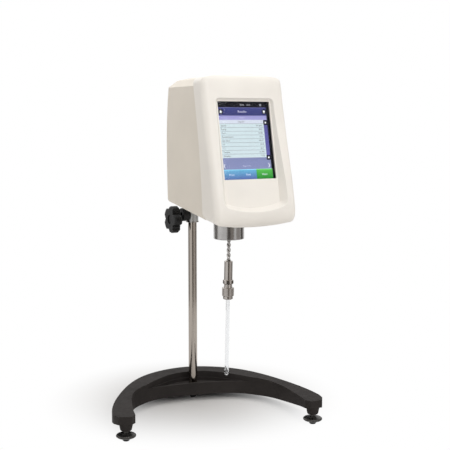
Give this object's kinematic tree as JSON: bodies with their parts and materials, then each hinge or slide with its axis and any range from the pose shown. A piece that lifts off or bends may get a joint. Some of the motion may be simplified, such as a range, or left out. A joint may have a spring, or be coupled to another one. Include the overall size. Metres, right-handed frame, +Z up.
{
  "type": "gel timer",
  "caption": "Bench gel timer: touch-screen drive head on a rod stand with a crescent base and levelling feet, turning a glass stirrer held in a chuck.",
  "frame": {"origin": "axis of the upright rod on the bench plane, which is the underside of the rear foot", "axes": "+Z up along the upright rod, -Y towards the user between the base arms, +X to the user's right"},
  "size_m": [0.286, 0.2393, 0.469],
  "materials": {
    "black_casting": "satin black paint on a casting",
    "rod_steel": "polished stainless",
    "black_plastic": "black moulding",
    "steel": "bright steel",
    "foot_steel": "blackened steel",
    "foot_rubber": "black rubber",
    "clamp_metal": "grey cast metal",
    "brass": "plain brass",
    "housing": "warm off-white moulding",
    "cover": "warm grey-beige moulding",
    "screen_glass": "clear touch glass",
    "lcd": "lit display panel",
    "sheet_metal": "zinc-plated sheet",
    "circuit": "green circuit board",
    "port_metal": "plated socket shells",
    "aluminium": "turned aluminium",
    "motor_black": "black motor case",
    "spring_alloy": "copper alloy strip",
    "cup_steel": "turned stainless",
    "chuck_steel": "turned stainless",
    "stirrer_glass": "clear glass"
  },
  "bodies": {
    "stand": {"base_casting": "black_casting", "upright_rod": "rod_steel", "rod_cap": "black_plastic", "rod_grub_screw": "steel"},
    "rear_foot": {"foot_screw_rear": "foot_steel", "foot_pad_rear": "foot_rubber"},
    "left_foot": {"foot_screw_left": "foot_steel", "foot_pad_left": "foot_rubber"},
    "right_foot": {"foot_screw_right": "foot_steel", "foot_pad_right": "foot_rubber"},
    "sleeve": {"clamp_sleeve": "steel"},
    "clamp": {"clamp_block": "clamp_metal", "pressure_pad": "brass", "roll_lock_screw": "steel"},
    "knob": {"clamp_knob": "black_plastic", "clamp_stud": "steel"},
    "head": {"front_housing": "housing", "rear_cover": "cover", "display_glass": "screen_glass", "display_panel": "lcd", "display_bracket": "sheet_metal", "display_board": "circuit", "chassis": "sheet_metal", "frame_standoffs": "steel", "cover_screws": "steel", "head_rod": "rod_steel", "head_rod_nut": "steel", "main_board": "circuit", "power_board": "circuit", "power_inlet": "black_plastic", "switch_frame": "black_plastic", "usb_ports": "port_metal", "network_port": "port_metal", "drive_pillars": "steel", "bearing_plate": "aluminium", "motor_plate": "aluminium", "motor": "motor_black", "upper_bearing": "steel", "sensor_block": "black_plastic", "bearing_seat": "aluminium", "lower_bearing": "steel", "pivot_cup": "cup_steel"},
    "rocker": {"switch_rocker": "black_plastic"},
    "drive": {"drive_shaft": "steel", "shaft_coupling": "aluminium", "spring_cage": "aluminium", "torque_spring": "spring_alloy"},
    "spindle": {"pivot_shaft": "steel", "spindle_coupling": "steel", "link_shaft": "steel", "chuck_sleeve": "chuck_steel", "collet": "brass"},
    "nut": {"chuck_nut": "chuck_steel"},
    "stirrer": {"stirrer": "stirrer_glass"}
  },
  "joints": [
    {"name": "rear_foot_level", "type": "slide", "parent": "stand", "child": "rear_foot", "axis": [0, 0, 1], "range_m": [-0.006, 0.002]},
    {"name": "left_foot_level", "type": "slide", "parent": "stand", "child": "left_foot", "axis": [0, 0, 1], "range_m": [-0.006, 0.003]},
    {"name": "right_foot_level", "type": "slide", "parent": "stand", "child": "right_foot", "axis": [0, 0, 1], "range_m": [-0.006, 0.003]},
    {"name": "clamp_height", "type": "slide", "parent": "stand", "child": "sleeve", "axis": [0, 0, 1], "range_m": [-0.05, 0.08]},
    {"name": "clamp_swivel", "type": "hinge", "parent": "sleeve", "child": "clamp", "pos_m": [0, 0, 0.3], "axis": [0, 0, 1], "range_deg": [-42, 17]},
    {"name": "knob_turn", "type": "hinge", "parent": "clamp", "child": "knob", "pos_m": [-0.02988, -0.0066, 0.2667], "axis": [-0.9764, -0.2158, 0], "range_deg": [0, 540]},
    {"name": "head_roll", "type": "hinge", "parent": "clamp", "child": "head", "pos_m": [0.00734, -0.0332, 0.32], "axis": [0.2158, -0.9764, 0], "range_deg": [-6, 6]},
    {"name": "power_rocker", "type": "hinge", "parent": "head", "child": "rocker", "pos_m": [-0.01861, -0.05481, 0.372], "axis": [0, 0, 1], "range_deg": [-16, 0]},
    {"name": "drive_turn", "type": "hinge", "parent": "head", "child": "drive", "pos_m": [0.02438, -0.11034, 0.36], "axis": [0, 0, 1], "continuous": true},
    {"name": "spring_twist", "type": "hinge", "parent": "drive", "child": "spindle", "pos_m": [0.02438, -0.11034, 0.33], "axis": [0, 0, 1], "range_deg": [-80, 80], "stiffness_Nm_per_rad": 0.004},
    {"name": "chuck_nut_turn", "type": "hinge", "parent": "spindle", "child": "nut", "pos_m": [0.02322, -0.11002, 0.177], "axis": [-0.0165, 0.0046, -0.9999], "range_deg": [0, 540]},
    {"name": "stirrer_pull", "type": "slide", "parent": "spindle", "child": "stirrer", "axis": [-0.0165, 0.0046, -0.9999], "range_m": [0, 0.05]}
  ]
}
